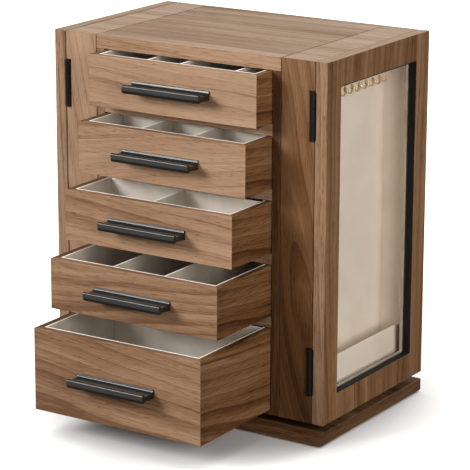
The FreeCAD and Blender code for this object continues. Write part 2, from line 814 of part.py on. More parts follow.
def handle_screw(index, x, play):
    """A countersunk screw from inside the drawer front into the handle."""
    y_face, z_mid = handle_middle(index)
    y_in = y_face + FRONT_T
    seat = V(x, y_in, z_mid)
    ahead = V(0, -1, 0)
    head_r = HANDLE_SCREW_HEAD_R + play
    shank_r = HANDLE_SCREW_R + play
    head = Part.makeCone(head_r, shank_r, HANDLE_SCREW_HEAD_T, seat, ahead)
    shank = rod(shank_r, seat, ahead, FRONT_T + HANDLE_SCREW_BITE)
    return head.fuse(shank).removeSplitter()


def handle_screw_list(index, play):
    return [handle_screw(index, side * HANDLE_SCREW_SPACING / 2, play) for side in (-1, 1)]


def drawer_screws(index):
    return group(handle_screw_list(index, 0))


# Everything by name

def all_nodes():
    nodes = {
        "base_felt": base_felt(),
        "base_plate": base_plate(),
        "turntable_lower_plate": turntable_lower_plate(),
        "turntable_lower_screws": turntable_lower_screws(),
        "turntable_balls": turntable_balls(),
        "turntable_pivot": turntable_pivot(),
        "turntable_upper_plate": turntable_upper_plate(),
        "turntable_upper_screws": turntable_upper_screws(),
        "bottom_panel": bottom_panel(),
        "top_panel": top_panel(),
        "partitions": partitions(),
        "back_panel": back_panel(),
        "drawer_shelves": drawer_shelves(),
        "drawer_stop_pegs": drawer_stop_pegs(),
        "case_linings": case_linings(),
        "necklace_hooks": necklace_hooks(),
        "case_hinge_leaves": case_hinge_leaves(),
        "hinge_pins": hinge_pins(),
        "case_magnets": case_magnets(),
    }
    handed = {
        "case_front": right_case_front(),
        "case_shell": right_case_shell(),
        "pocket": right_pocket(),
        "door_frame": right_door_frame(),
        "door_glass": right_door_glass(),
        "window_gasket": right_window_gasket(),
        "door_hinge_leaves": right_door_hinge_leaves(),
        "strike_plates": right_strike_plates(),
    }
    for name, shape in handed.items():
        nodes["right_" + name] = shape
        nodes["left_" + name] = mirrored(shape)
    for index in range(DRAWER_COUNT):
        prefix = "drawer_%d_" % (index + 1)
        nodes[prefix + "front"] = drawer_front(index)
        nodes[prefix + "box"] = drawer_box(index)
        nodes[prefix + "liner"] = drawer_liner(index)
        nodes[prefix + "handle"] = drawer_handle(index)
        nodes[prefix + "screws"] = drawer_screws(index)
    return nodes


for name, shape in all_nodes().items():
    shape.exportStep("parts/" + name + ".step")
    state = "valid" if shape.isValid() else "INVALID"
    print(name, len(shape.Solids), "solids", round(shape.Volume, 1), "mm3", state)
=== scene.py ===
# %% [markdown]
# # A rotating jewellery box
# The real thing is a small walnut cabinet on a swivel base: five lined drawers in front and a
# glazed necklace case on each side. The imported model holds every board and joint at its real
# size, so this lesson only dresses it. Each piece is copied, softened or built anew where it
# stands, and given a finish made of nodes.

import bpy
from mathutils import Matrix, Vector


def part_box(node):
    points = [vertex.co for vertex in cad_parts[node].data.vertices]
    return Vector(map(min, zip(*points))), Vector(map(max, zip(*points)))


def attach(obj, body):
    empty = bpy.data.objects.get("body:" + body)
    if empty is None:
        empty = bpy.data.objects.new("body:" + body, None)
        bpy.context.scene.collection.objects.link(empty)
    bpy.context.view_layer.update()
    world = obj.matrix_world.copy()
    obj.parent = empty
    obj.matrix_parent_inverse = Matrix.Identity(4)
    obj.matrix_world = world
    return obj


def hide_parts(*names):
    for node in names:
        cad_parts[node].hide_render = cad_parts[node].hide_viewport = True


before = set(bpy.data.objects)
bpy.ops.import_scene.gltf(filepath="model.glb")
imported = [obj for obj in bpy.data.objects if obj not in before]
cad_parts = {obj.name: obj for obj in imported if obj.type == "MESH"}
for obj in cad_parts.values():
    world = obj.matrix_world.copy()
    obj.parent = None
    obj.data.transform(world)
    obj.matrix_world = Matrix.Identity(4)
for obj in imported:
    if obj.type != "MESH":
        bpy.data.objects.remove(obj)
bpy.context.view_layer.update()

# %% Tools and units
import math

import bmesh
import bpy
from mathutils import Vector

MM = 0.001
DRAWERS = ["drawer_%d" % (number + 1) for number in range(5)]
SIDES = {"right": 1, "left": -1}


def middle(node):
    """The middle of a node's box."""
    low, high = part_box(node)
    return (low + high) / 2


cabinet_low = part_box("right_case_front")[0]
cabinet_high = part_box("right_door_frame")[1]
print("cabinet is", round((cabinet_high.z - cabinet_low.z) / MM, 1), "mm tall")

# %% [markdown]
# ## Sums on shader sockets
# A grain pattern is a page of arithmetic, and wiring it by hand hides the idea. A small class
# wraps a socket, so that an ordinary sum in Python adds the Math nodes. The other nodes all come
# from one method that sets a node's options first and its sockets second.

# %% A socket that does sums


class Wire:
    """A shader socket. Sums with it add Math nodes."""

    def __init__(self, finish, socket):
        self.finish = finish
        self.socket = socket

    def maths(self, operation, *values):
        sockets = dict(enumerate(values))
        return self.finish.wire("Math", {"operation": operation}, sockets)

    def __add__(self, other):
        return self.maths("ADD", self, other)

    def __sub__(self, other):
        return self.maths("SUBTRACT", self, other)

    def __rsub__(self, other):
        return self.maths("SUBTRACT", other, self)

    def __mul__(self, other):
        return self.maths("MULTIPLY", self, other)

    def __pow__(self, other):
        return self.maths("POWER", self, other)

    __radd__ = __add__
    __rmul__ = __mul__

    def root(self):
        return self.maths("SQRT", self)

    def fraction(self):
        return self.maths("FRACT", self)

    def ease(self, low, high):
        """Goes smoothly from 0 at low to 1 at high."""
        options = {"interpolation_type": "SMOOTHSTEP"}
        sockets = {"Value": self, "From Min": low, "From Max": high}
        return self.finish.wire("MapRange", options, sockets)


class Finish:
    """A material under construction, with its main shader."""

    def __init__(self, name, constants):
        self.material = bpy.data.materials.new(name)
        self.material.use_nodes = True
        self.tree = self.material.node_tree
        self.shader = self.tree.nodes["Principled BSDF"]
        self.feed(constants)

    def node(self, kind, options=None, sockets=None):
        made = self.tree.nodes.new("ShaderNode" + kind)
        for key, value in (options or {}).items():
            if key == "stops":
                self.set_stops(made.color_ramp, value)
            else:
                setattr(made, key, value)
        self.fill(made, sockets or {})
        return made

    def wire(self, kind, options=None, sockets=None, output=0):
        return Wire(self, self.node(kind, options, sockets).outputs[output])

    def fill(self, node, sockets):
        for key, value in sockets.items():
            if isinstance(value, Wire):
                self.tree.links.new(value.socket, node.inputs[key])
            else:
                node.inputs[key].default_value = value

    def feed(self, sockets):
        """Gives values or wires to the main shader."""
        self.fill(self.shader, sockets)

    def set_stops(self, ramp, stops):
        while len(ramp.elements) < len(stops):
            ramp.elements.new(1.0)
        for element, (place, colour) in zip(ramp.elements, stops):
            element.position = place
            element.color = colour

    def place(self, origin=(0, 0, 0)):
        """Object coordinates, counted from an origin, as three wires."""
        coordinates = self.wire("TexCoord", {}, {}, "Object")
        away = [-value for value in origin]
        moved = self.wire("Mapping", {}, {"Vector": coordinates, "Location": away})
        split = self.node("SeparateXYZ", {}, {"Vector": moved})
        return [Wire(self, split.outputs[axis]) for axis in range(3)]

    def join(self, x, y, z):
        return self.wire("CombineXYZ", {}, {"X": x, "Y": y, "Z": z})

    def noise(self, x, y, z, detail=2.0, roughness=0.5, distortion=0.0):
        """Soft noise from 0 to 1, one feature per unit of x, y and z."""
        options = {"noise_dimensions": "3D"}
        sockets = {
            "Vector": self.join(x, y, z),
            "Scale": 1.0,
            "Detail": detail,
            "Roughness": roughness,
            "Distortion": distortion,
        }
        return self.wire("TexNoise", options, sockets)

    def ramp(self, factor, stops):
        return self.wire("ValToRGB", {"stops": stops}, {"Fac": factor})

    def mix(self, factor, first, second, blend="MIX"):
        options = {"data_type": "RGBA", "blend_type": blend}
        return self.wire("Mix", options, {0: factor, 6: first, 7: second}, 2)

    def bump(self, height, strength, depth):
        sockets = {"Height": height, "Strength": strength, "Distance": depth}
        self.feed({"Normal": self.wire("Bump", {}, sockets)})


def paint(red, green, blue):
    """A colour as a painter reads it off a chart, from 0 to 255, made linear for the shader."""
    shares = [value / 255 for value in (red, green, blue)]
    linear = [s / 12.92 if s <= 0.04045 else ((s + 0.055) / 1.055) ** 2.4 for s in shares]
    return (*linear, 1.0)


# %% [markdown]
# ## Walnut
# The boards are faced with flat-sawn walnut. A tree's growth rings are nested tubes round its
# heart, and a board is a flat slice through them: that is where the long streaks and the pointed
# arches come from. A picture of wood would repeat and stretch at the edges. Here the rings are
# worked out in space instead, so the figure runs round every edge as it does in the solid. Thin
# fibres, short dark pores and slow changes of tone lie over the rings.

# %% Walnut
FRONT_TONES = [
    (0.00, paint(78, 52, 34)),
    (0.26, paint(116, 84, 60)),
    (0.50, paint(153, 121, 94)),
    (0.74, paint(171, 140, 114)),
    (1.00, paint(188, 160, 136)),
]
# A darker, warmer copy of the front tones for boards seen in half shade: painted shade.
SHADED_SIDE_TONES = [
    (0.00, paint(54, 30, 15)),
    (0.26, paint(84, 53, 29)),
    (0.50, paint(113, 78, 47)),
    (0.74, paint(136, 102, 72)),
    (1.00, paint(160, 127, 98)),
]
# A lighter, greyer copy for faces that look up: a painted sheen, as of the light behind the box.
TOP_SHEEN_TONES = [
    (0.00, paint(92, 68, 50)),
    (0.30, paint(132, 104, 82)),
    (0.55, paint(162, 136, 114)),
    (1.00, paint(198, 178, 158)),
]
# Near black for the faces inside the drawer bays: painted shade.
BAY_SHADE_TONES = [
    (0.00, paint(26, 18, 12)),
    (1.00, paint(62, 45, 31)),
]
BASE_TONES = [
    (0.00, paint(56, 35, 19)),
    (0.30, paint(82, 55, 33)),
    (0.55, paint(108, 76, 48)),
    (1.00, paint(142, 106, 74)),
]
GRAIN_ORDER = {"X": (0, 1, 2), "Y": (1, 2, 0), "Z": (2, 1, 0)}
MEAN_TONE = 0.575


def walnut(
    name,
    grain,
    heart,
    rise=0.0,
    tones=FRONT_TONES,
    light=0.0,
    wander=1.0,
    contrast=1.05,
    fade=0.0,
):
    """Walnut whose fibres run along one axis. The heart is a point in the middle of the rings.

    rise tilts the fibres to the board, light shifts its tone, wander is how far the rings bend,
    and fade is how much lighter the board grows for each metre along the grain, a painted shade
    that leaves it darker towards its low end.
    """
    finish = Finish(name, {"Specular IOR Level": 0.2})
    order = GRAIN_ORDER[grain]
    place = finish.place(heart)
    along, across, depth = [place[axis] for axis in order]
    bend = finish.noise(along * 3.1, across * 6.0, depth * 6.0, 1.0) - 0.5
    ripple = finish.noise(along * 11.0, across * 26.0, depth * 26.0, 1.0) - 0.5
    side = across + bend * (0.035 * wander) + ripple * 0.005
    back = depth + along * rise + bend * (0.02 * wander)
    ring = (side * side + back * back).root()

    def streaks(fineness, length, layer, detail=2.0):
        """Noise stretched along the grain. The shear staggers the ends of neighbouring streaks."""
        sheared = along * length + ring * (fineness * 0.37)
        return finish.noise(ring * fineness, sheared, layer, detail, 0.6)

    broad = streaks(55.0, 1.6, 0.0)
    narrow = streaks(200.0, 2.6, 4.0)
    line = (ring * 120.0 + (broad - 0.5) * 1.4 + (narrow - 0.5) * 0.9).fraction() ** 3.0
    thread = streaks(820.0, 7.0, 2.0)
    fibre = finish.noise(along * 36.0, across * 1300.0, depth * 1300.0, 2.0, 0.6)
    pores = finish.noise(along * 95.0, across * 1500.0, depth * 1500.0, 1.0).ease(0.58, 0.72)
    patch = finish.noise(along * 3.3, across * 11.0, depth * 11.0, 1.0)
    tone = (broad - 0.5) * 0.56 + (narrow - 0.5) * 0.44 + (thread - 0.5) * 0.36
    tone = tone + (patch - 0.5) * 0.36 + (fibre - 0.5) * 0.45 - line * 0.14 - pores * 0.22
    shown = tone * contrast + along * fade + (MEAN_TONE + light)
    finish.feed({"Base Color": finish.ramp(shown, tones)})
    finish.feed({"Roughness": 0.46 + (fibre - 0.5) * 0.24 + line * 0.06})
    finish.bump(fibre * 0.6 - pores * 0.8 + thread * 0.4, 0.2, 0.12 * MM)
    return finish.material


def glue_line(name):
    """Dark finish that has gathered in a joint."""
    finish = Finish(name, {"Specular IOR Level": 0.2, "Roughness": 0.7})
    x, y, z = finish.place()
    grime = finish.noise(x * 300.0, y * 300.0, z * 300.0, 3.0)
    finish.feed({"Base Color": finish.mix(grime, paint(44, 28, 18), paint(88, 62, 44))})
    return finish.material


# %% [markdown]
# ## Cloth, metal, rubber and glass
# The linings are a short-napped ivory cloth: a tight weave that only shows close by, a nap that
# turns lighter and darker in patches, and a sheen. The pulls and hinges are satin black, the
# hooks are brass, and the swivel bearing is zinc-plated steel. Clear glass is a mix of letting
# light through and reflecting it, ruled by the angle, which keeps what lies behind it bright.

# %% Lining cloth
THREADS = 9000.0


def lining_cloth(name, colour, shade):
    sheen = {"Sheen Weight": 0.25, "Sheen Roughness": 0.5}
    finish = Finish(name, {**sheen, "Specular IOR Level": 0.12})
    x, y, z = finish.place()
    weave = x.maths("SINE", x * THREADS) * y.maths("SINE", (y + z) * THREADS)
    nap = finish.noise(x * 34.0, y * 34.0, z * 34.0, 3.0, 0.55)
    fuzz = finish.noise(x * 1300.0, y * 1300.0, z * 1300.0, 2.0, 0.6)
    worn = nap * 0.82 + fuzz * 0.1 + (weave * 0.5 + 0.5) * 0.08
    finish.feed({"Base Color": finish.mix(worn.ease(0.3, 0.72), shade, colour)})
    finish.feed({"Roughness": 0.8 + fuzz * 0.15})
    finish.bump(weave * 0.5 + fuzz * 0.5, 0.03, 0.1 * MM)
    return finish.material


def base_felt_cloth(name):
    finish = Finish(name, {"Roughness": 0.95, "Sheen Weight": 0.3})
    x, y, z = finish.place()
    hairs = finish.noise(x * 900.0, y * 900.0, z * 900.0, 4.0, 0.7, 1.5)
    finish.feed({"Base Color": finish.mix(hairs, paint(30, 28, 26), paint(72, 68, 63))})
    finish.bump(hairs, 0.5, 0.3 * MM)
    return finish.material


# %% Metals


def satin_black(name, coat, shade=paint(14, 14, 14), colour=paint(32, 31, 30)):
    """Black powder over an extruded bar: faint draw lines along X and a fine orange peel."""
    finish = Finish(name, {"Specular IOR Level": 0.3, "Coat Weight": coat, "Coat Roughness": 0.21})
    x, y, z = finish.place()
    drawn = finish.noise(x * 12.0, y * 1700.0, z * 1700.0, 2.0)
    peel = finish.noise(x * 1600.0, y * 1600.0, z * 1600.0, 2.0)
    dust = finish.noise(x * 60.0, y * 60.0, z * 60.0, 3.0)
    finish.feed({"Base Color": finish.mix(dust * 0.6 + drawn * 0.4, shade, colour)})
    finish.feed({"Metallic": 0.1 + drawn * 0.1})
    finish.feed({"Roughness": 0.26 + drawn * 0.1 + dust * 0.08})
    finish.bump(peel * 0.5 + drawn * 0.5, 0.12, 0.08 * MM)
    return finish.material


def bright_metal(name, colour, shade, rough, lines):
    """A plain metal with turned or brushed lines and a few duller patches."""
    finish = Finish(name, {"Metallic": 1.0})
    x, y, z = finish.place()
    brushed = finish.noise(x * lines, y * lines, z * lines * 0.2, 3.0, 0.6)
    dull = finish.noise(x * 90.0, y * 90.0, z * 90.0, 2.0)
    finish.feed({"Base Color": finish.mix(dull.ease(0.35, 0.7), colour, shade)})
    finish.feed({"Roughness": rough + brushed * 0.12 + dull * 0.08})
    finish.bump(brushed, 0.15, 0.05 * MM)
    return finish.material


def black_rubber(name):
    finish = Finish(name, {"Specular IOR Level": 0.25})
    x, y, z = finish.place()
    grit = finish.noise(x * 700.0, y * 700.0, z * 700.0, 3.0)
    finish.feed({"Base Color": finish.mix(grit, paint(8, 8, 7), paint(22, 20, 18))})
    finish.feed({"Roughness": 0.62 + grit * 0.2})
    finish.bump(grit, 0.2, 0.1 * MM)
    return finish.material


# %% Clear glass


def clear_glass(name):
    """Lets light straight through, and reflects more towards a glancing view."""
    finish = Finish(name, {"Roughness": 0.04})
    x, y, z = finish.place()
    smear = finish.noise(x * 25.0, y * 25.0, z * 12.0, 3.0, 0.6).ease(0.5, 0.9)
    through = finish.wire("BsdfTransparent", {}, {"Color": (0.985, 0.985, 0.98, 1.0)})
    mirror = finish.wire("BsdfGlossy", {}, {"Color": (1.0, 1.0, 1.0, 1.0), "Roughness": 0.03})
    facing = finish.wire("LayerWeight", {}, {"Blend": 0.5}, "Facing")
    blend = facing**5.0 * 0.9 + 0.035 + smear * 0.02
    output = finish.tree.nodes["Material Output"]
    surface = finish.wire("MixShader", {}, {0: blend, 1: through, 2: mirror})
    finish.fill(output, {"Surface": surface})
    return finish.material


# %% Make the plain finishes once
IVORY = lining_cloth("ivory_lining", paint(236, 228, 217), paint(216, 205, 192))
# A darker copy of the lining for walls turned from the light: painted shade.
PAINTED_SHADE_IVORY = lining_cloth("ivory_lining_painted_shade", paint(200, 191, 177), paint(174, 164, 150))
PALE_IVORY = lining_cloth("ivory_case_lining", paint(253, 243, 230), paint(245, 233, 218))
# A paler copy for the upward faces of the tray rims: painted highlight.
RIM_HIGHLIGHT_CLOTH = lining_cloth("ivory_rim_highlight", paint(252, 247, 238), paint(240, 233, 222))
BLACK = satin_black("satin_black_metal", 0.45)
# A paler black for the front face of a pull's lip: a painted reflection of the floor.
LIP_REFLECTION_BLACK = satin_black("black_lip_painted_reflection", 0.5, paint(46, 46, 45), paint(70, 69, 67))
HINGE_BLACK = satin_black("dull_black_hinge", 0.1, paint(12, 12, 12), paint(26, 25, 24))
JOINT = glue_line("dark_glue_line")
RUBBER = black_rubber("black_window_seal")
BRASS = bright_metal("polished_brass", paint(255, 234, 184), paint(236, 200, 138), 0.18, 500.0)
ZINC = bright_metal("zinc_plated_steel", paint(196, 198, 200), paint(150, 152, 154), 0.3, 300.0)
NICKEL = bright_metal("nickel_plate", paint(205, 200, 190), paint(160, 156, 148), 0.22, 350.0)
FELT = base_felt_cloth("dark_felt")
GLASS = clear_glass("clear_glass")
print("plain finishes:", len(bpy.data.materials))

# %% [markdown]
# ## Boards with softened edges
# A saw leaves an edge like a knife, and a maker takes it off with a stroke of sandpaper. That
# narrow band is what catches the light along every board. Each board is copied from the frame,
# one closed solid at a time, its triangles are merged into flat faces, and its outside edges are
# bevelled. Edges that lie in a glued joint stay sharp, so that the joint closes.

# %% Split a node into its solids
WELD = 0.002 * MM
SEAM = 0.45 * MM
FLAT = math.radians(0.6)
CORNER = math.radians(40.0)
EASED = 0.45 * MM
SHORT_EDGE = 4 * MM


def closed_runs(shape):
    """Groups of faces that close: every edge in one direction has met its reverse."""
    runs = []
    faces = []
    open_edges = set()
    for face in shape.faces:
        corners = [tuple(round(value / WELD) for value in vertex.co) for vertex in face.verts]
        faces.append(face.index)
        for start, end in zip(corners, corners[1:] + corners[:1]):
            if (end, start) in open_edges:
                open_edges.remove((end, start))
            elif start != end:
                open_edges.add((start, end))
        if not open_edges:
            runs.append(set(faces))
            faces = []
    return runs


def solids_of(node):
    """Copies of a node's solids, welded and with their flat faces made whole."""
    whole = bmesh.new()
    whole.from_mesh(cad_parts[node].data)
    whole.faces.ensure_lookup_table()
    solids = []
    for run in closed_runs(whole):
        solid = whole.copy()
        others = [face for face in solid.faces if face.index not in run]
        bmesh.ops.delete(solid, geom=others, context="FACES")
        bmesh.ops.remove_doubles(solid, verts=solid.verts, dist=WELD)
        bmesh.ops.dissolve_limit(solid, angle_limit=FLAT, verts=solid.verts, edges=solid.edges)
        solids.append(solid)
    whole.free()
    return solids


# %% Soften, finish and seat a piece


def lies_in(edge, joint):
    """True if both ends of an edge lie in a joint's plane, given as a point and a normal."""
    point, normal = joint
    return all(abs((end.co - point).dot(normal)) < 10 * WELD for end in edge.verts)


def bevel(shape, edges, width, segments, finish=-1):
    """Rounds some edges. A finish of -1 carries on the finish beside each edge."""
    bmesh.ops.bevel(
        shape,
        geom=edges,
        offset=width,
        offset_type="OFFSET",
        segments=segments,
        profile=0.5,
        affect="EDGES",
        clamp_overlap=True,
        material=finish,
    )


def soften(shape, width, segments=2, joints=(), shortest=0.0, finish=-1, only=()):
    """Rounds the outside edges: not those in a joint, or only those in some planes."""
    sharp = [
        edge
        for edge in shape.edges
        if len(edge.link_faces) == 2
        and edge.calc_face_angle_signed(0.0) > CORNER
        and edge.calc_length() > shortest
        and not any(lies_in(edge, joint) for joint in joints)
        and (not only or any(lies_in(edge, plane) for plane in only))
    ]
    bevel(shape, sharp, width, segments, finish)


def join_shapes(shapes):
    """One bmesh that holds several."""
    whole = bmesh.new()
    for shape in shapes:
        part = bpy.data.meshes.new("part")
        shape.to_mesh(part)
        shape.free()
        whole.from_mesh(part)
        bpy.data.meshes.remove(part)
    return whole


def seat(name, shape, finishes, body, replaced):
    """Turns a bmesh into a piece with its finishes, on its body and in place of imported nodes."""
    mesh = bpy.data.meshes.new(name)
    shape.to_mesh(mesh)
    shape.free()
    for finish in finishes:
        mesh.materials.append(finish)
    piece = bpy.data.objects.new(name, mesh)
    bpy.context.scene.collection.objects.link(piece)
    mesh.shade_smooth()
    mesh.set_sharp_from_angle(angle=math.radians(50.0))
    weighted = piece.modifiers.new("weighted_normals", "WEIGHTED_NORMAL")
    weighted.keep_sharp = True
    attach(piece, body)
    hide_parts(*replaced)
    return piece


def dress_boards(
    node,
    body,
    slot,
    finishes,
    pick=None,
    width=EASED,
    segments=2,
    joints=(),
    shortest=0.0,
    seams=(),
):
    """A softened copy of a node.

    pick gives a face's finish from its solid's middle and its normal. Edges in the planes called
    seams get a dark, slightly open joint.
    """
    shapes = []
    for solid in solids_of(node):
        centre = sum((vertex.co for vertex in solid.verts), Vector()) / len(solid.verts)
        solid.normal_update()
        for face in solid.faces:
            face.material_index = pick(centre, face.normal) if pick else 0
        if seams:
            soften(solid, SEAM, 1, joints, shortest, len(finishes), seams)
        soften(solid, width, segments, [*joints, *seams], shortest)
        shapes.append(solid)
    every = [*finishes, JOINT] if seams else finishes
    return seat(node + "_dressed", join_shapes(shapes), every, body, [node])


# %% [markdown]
# ## The carcass
# The top is one wide board between the two cases, with its grain from left to right. The fronts
# of the cases are upright boards, mitred to the boards above them so that no end grain shows.
# Where two boards meet in a mitre here, the pointed edges stay sharp. Only the drawers get the
# single narrow flat planed across both, which is how a mitre is finished by hand.

# %% Top, partitions, shelves, back and bottom
CASE_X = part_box("right_case_front")[0].x
SEAMS = [(Vector((sign * CASE_X, 0, 0)), Vector((1, 0, 0))) for sign in (1, -1)]

# The top board takes the sheen palette: painted sheen.
top_walnut = walnut("walnut_top", "X", (0.02, 0.2, 0.27), 0.05, TOP_SHEEN_TONES, contrast=1.1)
top_edge_walnut = walnut("walnut_top_edge", "X", (0.04, 0.0, 0.3), 0.06, light=-0.07)

# Painted shade: the faces inside the drawer bays take near-black walnut.
bay_shade_walnut = walnut("bay_shade_walnut", "Y", (0.0, 0.1, 0.1), 0.0, BAY_SHADE_TONES)


def shade_in_bays(centre, normal):
    """Finish 0 on faces towards the front, back and top, 1 on those that close a drawer's bay,
    near black as painted shade.
    """
    return 0 if abs(normal.y) > 0.7 or normal.z > 0.9 else 1


def top_face(centre, normal):
    """The same, with finish 2 for the front edge, which is toned like the drawers below it."""
    return 2 if normal.y < -0.7 else shade_in_bays(centre, normal)


def shade_in_shelf_bays(centre, normal):
    """The same for the shelves, whose tops are inside too."""
    return 0 if abs(normal.y) > 0.7 else 1


def partition_face(centre, normal):
    """Finish 0 for the right partition's front and back, darkened as painted shade, 2 for the left
    one's, 1 elsewhere.
    """
    if abs(normal.y) < 0.7:
        return 1
    return 0 if centre.x > 0 else 2


# Painted shade: the right partition's front edge is darkened, as if the drawers shaded it.
shaded_partition_walnut = walnut("walnut_partition_painted_shade", "Z", (0.0, 0.05, 0.1), 0.0, SHADED_SIDE_TONES, -0.28)
pale_partition_walnut = walnut("walnut_left_partition", "Z", (0.0, 0.05, 0.1), light=-0.05)
board_finishes = [shaded_partition_walnut, bay_shade_walnut, pale_partition_walnut]
dress_boards("partitions", "cabinet", "walnut", board_finishes, partition_face, seams=SEAMS)
top_finishes = [top_walnut, bay_shade_walnut, top_edge_walnut]
dress_boards("top_panel", "cabinet", "walnut", top_finishes, top_face, seams=SEAMS)
shelf_walnut = walnut("walnut_shelf", "X", (0.0, 0.1, 0.17), 0.03)
dress_boards("drawer_shelves", "cabinet", "walnut", [shelf_walnut, bay_shade_walnut], shade_in_shelf_bays)
back_walnut = walnut("walnut_back", "X", (0.0, 0.15, 0.12), 0.09)
dress_boards("back_panel", "cabinet", "walnut", [back_walnut])
dress_boards("bottom_panel", "cabinet", "walnut", [shaded_partition_walnut], shortest=SHORT_EDGE)

# %% The side cases
# Painted shade: the right case front takes the darker palette, shifted darker and lightening
# upwards, as if the open drawers shaded its lower part.
CASE_TONES = {"right": SHADED_SIDE_TONES, "left": FRONT_TONES}
CASE_FADE = {"right": 0.9, "left": 0.0}
TOP_BAND = 12 * MM


def case_board(centre, normal):
    """Finish 0 for the board on top of a case, 1 for its other boards."""
    return 0 if centre.z > cabinet_high.z - TOP_BAND else 1


for side, sign in SIDES.items():
    low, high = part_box(side + "_case_front")
    mitre = (Vector((0, low.y, high.z)), Vector((0, 1, 1)).normalized())
    heart = (sign * 0.136, low.y + 0.03, 0.12)
    fade = CASE_FADE[side]
    front_walnut = walnut(
        "walnut_%s_case_front" % side,
        "Z",
        heart,
        0.2,
        CASE_TONES[side],
        -0.16 * fade,
        wander=1.3,
        contrast=1.0,
        fade=fade,
    )
    fitting = {"joints": [mitre], "shortest": SHORT_EDGE, "seams": SEAMS}
    dress_boards(side + "_case_front", "cabinet", "walnut", [front_walnut], **fitting)
    # The case tops take the sheen palette, lighter again: painted sheen.
    top_heart = (sign * 0.1, 0.14, 0.28)
    case_top_walnut = walnut("walnut_%s_case_top" % side, "X", top_heart, 0.04, TOP_SHEEN_TONES, 0.12)
    rear_walnut = walnut("walnut_%s_case_back" % side, "Z", (sign * 0.1, 0.16, 0.0), 0.08)
    case_finishes = [case_top_walnut, rear_walnut]
    dress_boards(side + "_case_shell", "cabinet", "walnut", case_finishes, case_board, **fitting)

# %% [markdown]
# ## The base
# The plate under the cabinet is a darker board, with felt under it and the swivel bearing on top.
# All that shows of the bearing is a dark gap, and the balls only show when the cabinet is lifted
# off. The two ends are edged with strips whose grain runs along them, as on veneered board, so
# that no end grain shows there either.

# %% Base plate, felt and bearing
base_walnut = walnut("walnut_base", "X", (0.0, 0.1, -0.06), 0.03, BASE_TONES, contrast=2.0)
edging_heart = (0.25, 0.0, -0.04)
base_edging = walnut(
    "walnut_base_edging", "Y", edging_heart, 0.03, BASE_TONES, -0.26, contrast=1.6
)


def base_face(centre, normal):
    """Finish 1 for the edging on the two ends, 0 for the rest."""
    return 1 if abs(normal.x) > 0.7 else 0


base_finishes = [base_walnut, base_edging]
rounding = {"width": 0.8 * MM, "segments": 3, "shortest": SHORT_EDGE}
dress_boards("base_plate", "base", "dark_walnut", base_finishes, base_face, **rounding)
dress_boards("base_felt", "base", "felt", [FELT], width=0.4 * MM)
print("base finishes:", len(base_finishes) + 1)

# %% [markdown]
# ## The drawers
# A drawer front and its two sides are mitred, with the grain running round the corner. The front
# carries a black bar pull, an extruded shape with a lip to hook a finger under, a hollow behind
# the lip and a flange against the wood.

# %% Drawer fronts and boxes
PLANED = 0.5 * MM


def plane_corner(shape, point, outward):
    """Planes a narrow flat across a mitred corner and closes the cut."""
    geometry = shape.verts[:] + shape.edges[:] + shape.faces[:]
    depth = PLANED / math.sqrt(2)
    cut = bmesh.ops.bisect_plane(
        shape,
        geom=geometry,
        plane_co=point - outward * depth,
        plane_no=outward,
        clear_outer=True,
        dist=WELD,
    )
    rim = [item for item in cut["geom_cut"] if isinstance(item, bmesh.types.BMEdge)]
    bmesh.ops.contextual_create(shape, geom=rim)


def mitred_corners(node):
    """The two upright corners of a drawer front, as a point and an outward direction."""
    low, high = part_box(node)
    right = (Vector((high.x, low.y, 0)), Vector((1, -1, 0)).normalized())
    left = (Vector((low.x, low.y, 0)), Vector((-1, -1, 0)).normalized())
    return [right, left]


def mitre_planes(front_node):
    """The planes in which a drawer's front and sides meet."""
    low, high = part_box(front_node)
    slope = Vector((high.y - low.y, SIDE_BOARD, 0)).normalized()
    mirrored = Vector((-slope.x, slope.y, 0))
    return [(Vector((high.x, low.y, 0)), slope), (Vector((low.x, low.y, 0)), mirrored)]


SIDE_BOARD = 6.5 * MM
# One value for each drawer, from the top one down: where its boards were cut from the tree, and
# how light they are. The last two rows are painted shade: the fronts darken towards the bottom
# drawer and the sides are darker throughout.
HEART_DEPTH = (0.07, 0.08, 0.06, 0.05, 0.07)
HEART_DROP = (-0.05, 0.07, -0.05, 0.05, -0.06)
FIBRE_RISE = (0.08, -0.16, 0.1, -0.12, 0.14)
SHADE = (0.01, -0.02, -0.06, -0.16, -0.18)
SIDE_SHADE = (-0.1, -0.12, -0.15, -0.2, -0.1)
for count, drawer in enumerate(DRAWERS):
    front_node = drawer + "_front"
    box_node = drawer + "_box"
    joints = mitre_planes(front_node)
    heart = middle(front_node) + Vector((0.05, HEART_DEPTH[count], HEART_DROP[count]))
    rise = FIBRE_RISE[count]
    front_walnut = walnut("walnut_%s_front" % drawer, "X", heart, rise, light=SHADE[count])
    side_heart = middle(box_node) + Vector((0.03, 0.0, -0.08))
    # The sides take the darker side palette, darker again: painted shade.
    side_walnut = walnut(
        "walnut_%s_side" % drawer,
        "Y",
        side_heart,
        0.08,
        SHADED_SIDE_TONES,
        SIDE_SHADE[count],
        wander=1.2,
        contrast=1.6,
    )
    for node, finish in ((front_node, front_walnut), (box_node, side_walnut)):
        shapes = []
        for solid in solids_of(node):
            soften(solid, EASED, 2, joints, SHORT_EDGE)
            for point, outward in mitred_corners(front_node):
                plane_corner(solid, point, outward)
            shapes.append(solid)
        seat(node + "_dressed", join_shapes(shapes), [finish], drawer, [node])
print("drawers dressed:", len(DRAWERS))

# %% Bar pulls
PULL_PROFILE = [
    (0.0, 4.6),
    (1.3, 4.6),
    (1.7, 2.4),
    (3.6, 1.6),
    (13.2, 1.6),
    (15.2, 2.7),
    (16.0, 4.0),
    (17.6, 4.0),
    (18.5, 2.9),
    (18.4, -1.2),
    (17.6, -4.0),
    (15.7, -4.0),
    (14.4, -2.7),
    (0.0, -4.0),
]
PULL_HOLLOW = (2, 3, 4, 5, 12)
PULL_LIP = (1, 6, 7, 8, 9, 10, 11)
HOLLOW_ROUND = 1.1 * MM
LIP_ROUND = 0.42 * MM
END_ROUND = 0.25 * MM


